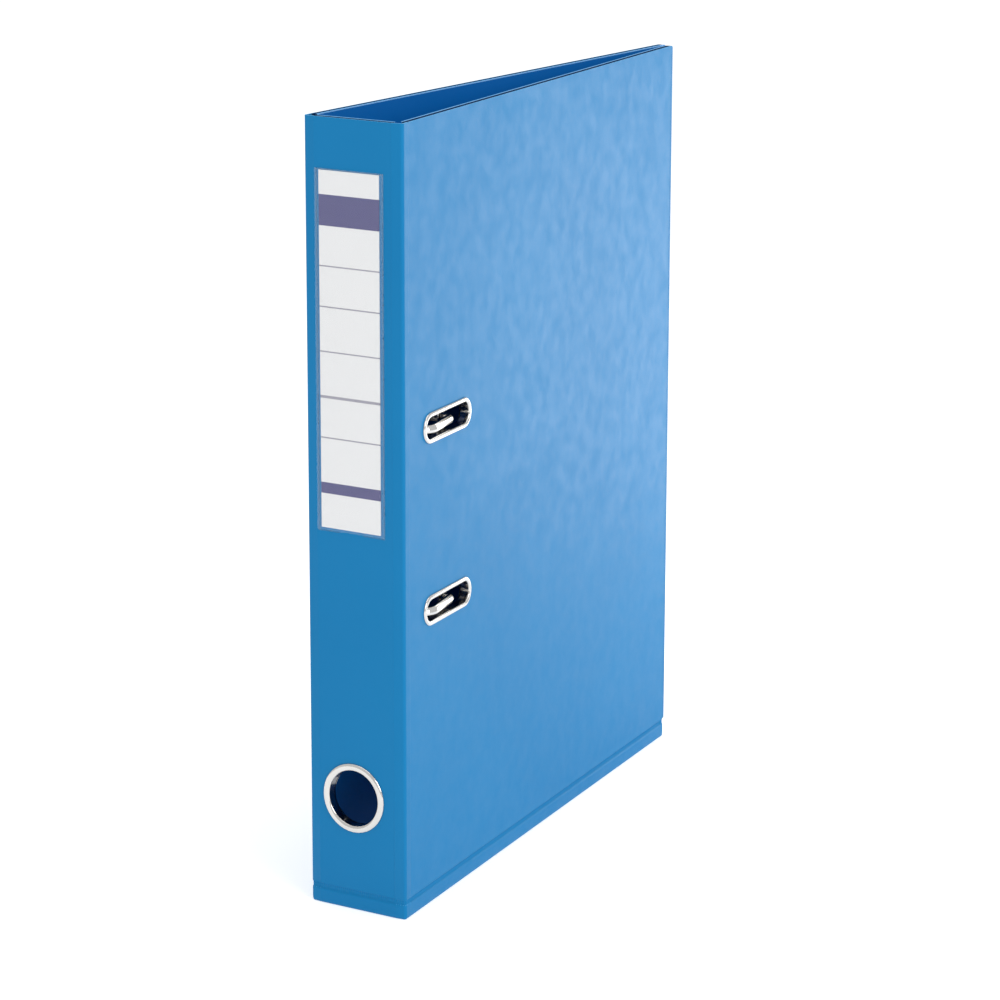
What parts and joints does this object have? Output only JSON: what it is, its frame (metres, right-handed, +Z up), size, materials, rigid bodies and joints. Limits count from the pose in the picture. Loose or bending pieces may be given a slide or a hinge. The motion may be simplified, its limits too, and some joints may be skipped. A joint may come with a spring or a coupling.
{
  "type": "lever arch file",
  "caption": "Upright lever arch file with film-covered board covers, a spine with a finger ring and label pocket, slotted front cover and a post and arch mechanism inside.",
  "frame": {"origin": "centre of the footprint, on the surface that the file stands on", "axes": "+Z up along the spine's height, +X towards the front cover across the spine, +Y from the spine towards the covers' free edges"},
  "size_m": [0.049, 0.291, 0.345],
  "materials": {
    "blue_film": "fine matt grain",
    "blue_lining": "fine matt grain",
    "turned_film_edge": "ribbed weld seam over a rounded bead",
    "grey_board": "raw grey board, covered by film",
    "bright_nickel": "bright nickel plate",
    "plated_steel": "zinc or nickel plated pressed sheet",
    "black_plastic": "moulded, satin",
    "clear_film": "clear and smooth",
    "label_paper": "uncoated card, plain coloured bands and rules"
  },
  "bodies": {
    "back_cover": {"back_cover_board": "grey_board", "back_cover_film_outer": "blue_film", "back_cover_film_inner": "blue_lining", "back_cover_bottom_edge": "turned_film_edge", "mechanism_plate": "plated_steel", "rivet_1": "bright_nickel", "rivet_2": "bright_nickel", "rivet_3": "bright_nickel", "rivet_4": "bright_nickel", "post_lower": "bright_nickel", "post_upper": "bright_nickel", "arch_bearing_lower": "plated_steel", "arch_bearing_upper": "plated_steel", "lever_bracket": "plated_steel"},
    "spine": {"spine_board": "grey_board", "spine_film_outer": "blue_film", "spine_film_inner": "blue_lining", "spine_bottom_edge": "turned_film_edge", "finger_ring_front": "bright_nickel", "finger_ring_back": "bright_nickel", "label_pocket": "clear_film", "hinge_strip_back": "blue_film", "hinge_strip_front": "blue_film"},
    "front_cover": {"front_cover_board": "grey_board", "front_cover_film_outer": "blue_film", "front_cover_film_inner": "blue_lining", "front_cover_bottom_edge": "turned_film_edge", "slot_eyelet_lower_front": "bright_nickel", "slot_eyelet_lower_back": "bright_nickel", "slot_eyelet_upper_front": "bright_nickel", "slot_eyelet_upper_back": "bright_nickel"},
    "arches": {"arch_wire": "bright_nickel"},
    "lever": {"lever_arm": "bright_nickel", "lever_pin": "plated_steel", "lever_roller": "plated_steel"},
    "compressor": {"compressor_bar": "plated_steel", "compressor_catch_lower": "black_plastic", "compressor_catch_upper": "black_plastic"},
    "label": {"label_insert": "label_paper"}
  },
  "joints": [
    {"name": "spine_hinge", "type": "hinge", "parent": "back_cover", "child": "spine", "pos_m": [-0.02274, -0.14285, 0], "axis": [0, 0, -1], "range_deg": [0, 90], "deforming": ["hinge_strip_back"]},
    {"name": "front_hinge", "type": "hinge", "parent": "spine", "child": "front_cover", "pos_m": [0.02285, -0.14181, 0], "axis": [0, 0, -1], "range_deg": [0, 150], "deforming": ["hinge_strip_front"]},
    {"name": "arch_hinge", "type": "hinge", "parent": "back_cover", "child": "arches", "pos_m": [-0.01544, -0.12055, 0], "axis": [0, 0, -1], "range_deg": [0, 27.5]},
    {"name": "lever_hinge", "type": "hinge", "parent": "back_cover", "child": "lever", "pos_m": [-0.01444, -0.10155, 0], "axis": [0, 0, 1], "range_deg": [0, 76]},
    {"name": "compressor_slide", "type": "slide", "parent": "back_cover", "child": "compressor", "axis": [1, 0, 0], "range_m": [0, 0.02]},
    {"name": "label_slide", "type": "slide", "parent": "spine", "child": "label", "axis": [0, 0, -1], "range_m": [0, 0.1]}
  ],
  "couplings": [
    {"joint": "arch_hinge", "follows": "front_hinge", "ratio": 0.18},
    {"joint": "lever_hinge", "follows": "front_hinge", "ratio": 0.5}
  ]
}
